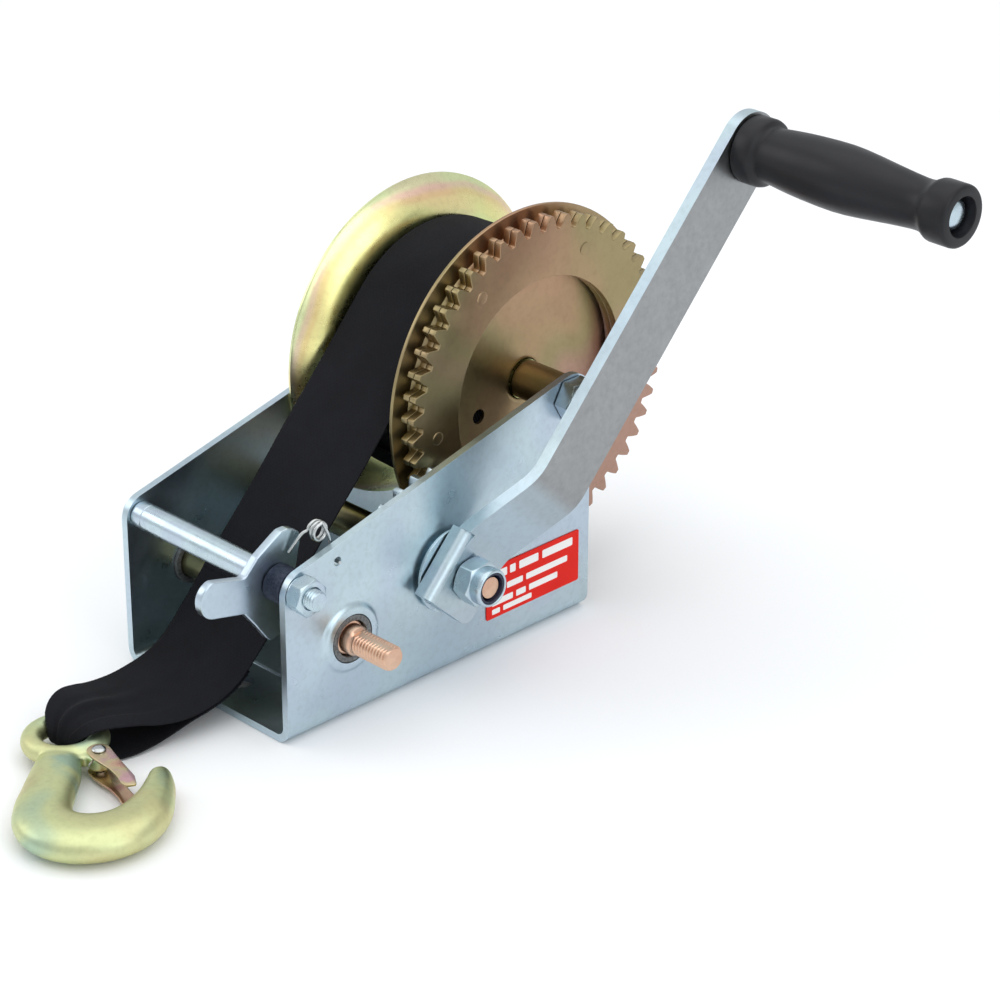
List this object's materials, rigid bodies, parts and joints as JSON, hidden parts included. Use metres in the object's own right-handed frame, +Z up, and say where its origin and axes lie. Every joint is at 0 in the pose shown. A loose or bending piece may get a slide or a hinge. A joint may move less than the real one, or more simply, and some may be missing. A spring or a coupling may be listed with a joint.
{
  "type": "boat trailer winch",
  "caption": "Two-speed geared hand winch with a webbing strap, a snap hook, a cranked handle and a ratchet pawl.",
  "frame": {"origin": "centre of the underside of the frame's base", "axes": "+X along the shafts towards the crank handle, -Y towards the side where the strap and hook leave, +Z up"},
  "size_m": [0.2314, 0.341, 0.1992],
  "materials": {
    "bright_zinc": "bright blue-white zinc plating on sheet steel, satin",
    "yellow_zinc": "yellow passivated zinc with faint iridescence",
    "bronze_zinc": "darker yellow-bronze passivated zinc",
    "copper_zinc": "pinkish yellow passivated zinc on turned steel",
    "olive_zinc": "olive yellow passivated zinc",
    "bush": "grey sintered iron, dull",
    "spring_steel": "plated spring steel",
    "black_webbing": "matt black woven polyester webbing",
    "black_plastic": "satin black moulded plastic",
    "nylon": "blue-black nylon",
    "red_label": "red printed label film"
  },
  "bodies": {
    "frame": {"frame_channel": "bright_zinc", "axle_bolt": "bright_zinc", "axle_nut": "bright_zinc", "axle_spacer_left": "bronze_zinc", "axle_spacer_right": "bronze_zinc", "bush_crank_left": "bush", "bush_crank_right": "bush", "bush_low_left": "bush", "bush_low_right": "bush", "tie_bolt": "bright_zinc", "tie_nut": "bright_zinc", "tie_sleeve": "bright_zinc", "pawl_bush": "bush", "pawl_spring": "spring_steel", "label": "red_label", "strap_tail": "black_webbing"},
    "reel": {"drum_sleeve": "yellow_zinc", "drum_core": "yellow_zinc", "flange_left": "yellow_zinc", "flange_right": "bronze_zinc", "gear_plate_inner": "bronze_zinc", "gear_plate_outer": "bronze_zinc", "strap_coil": "black_webbing"},
    "crank": {"crank_shaft": "copper_zinc", "crank_clip": "spring_steel", "drive_pinion": "olive_zinc", "mid_gear": "bright_zinc", "crank_washer": "bright_zinc", "crank_collar": "bright_zinc", "crank_arm": "bright_zinc", "crank_nut": "bright_zinc", "nut_ring": "nylon", "grip_bolt": "bright_zinc"},
    "grip": {"grip": "black_plastic"},
    "low_shaft": {"low_shaft": "copper_zinc", "low_clip": "spring_steel", "low_pinion": "olive_zinc"},
    "pawl": {"pawl": "bright_zinc"},
    "hook": {"hook": "yellow_zinc", "latch_pin": "spring_steel", "latch_spring": "spring_steel"},
    "latch": {"latch": "copper_zinc"}
  },
  "joints": [
    {"name": "reel_spin", "type": "hinge", "parent": "frame", "child": "reel", "pos_m": [0, 0.0675, 0.0938], "axis": [1, 0, 0], "continuous": true},
    {"name": "crank_spin", "type": "hinge", "parent": "frame", "child": "crank", "pos_m": [0, 0.0019, 0.0447], "axis": [1, 0, 0], "continuous": true},
    {"name": "low_spin", "type": "hinge", "parent": "frame", "child": "low_shaft", "pos_m": [0, -0.0476, 0.0338], "axis": [1, 0, 0], "continuous": true},
    {"name": "grip_spin", "type": "hinge", "parent": "crank", "child": "grip", "pos_m": [0.12, 0.13284, 0.18512], "axis": [1, 0, 0], "continuous": true},
    {"name": "pawl_swing", "type": "hinge", "parent": "frame", "child": "pawl", "pos_m": [0.0322, -0.0718, 0.0613], "axis": [1, 0, 0], "range_deg": [-25, 10], "stiffness_Nm_per_rad": 0.08},
    {"name": "hook_swing", "type": "hinge", "parent": "frame", "child": "hook", "pos_m": [-0.00092, -0.12889, 0.0066], "axis": [-0.9033, 0.4289, 0], "range_deg": [0, 70]},
    {"name": "latch_swing", "type": "hinge", "parent": "hook", "child": "latch", "pos_m": [0.01462, -0.14092, 0.0066], "axis": [0, 0, 1], "range_deg": [-32, 0], "stiffness_Nm_per_rad": 0.03, "springref_deg": 17.19}
  ],
  "couplings": [
    {"joint": "crank_spin", "follows": "reel_spin", "ratio": -4},
    {"joint": "low_spin", "follows": "reel_spin", "ratio": 8.3333}
  ]
}
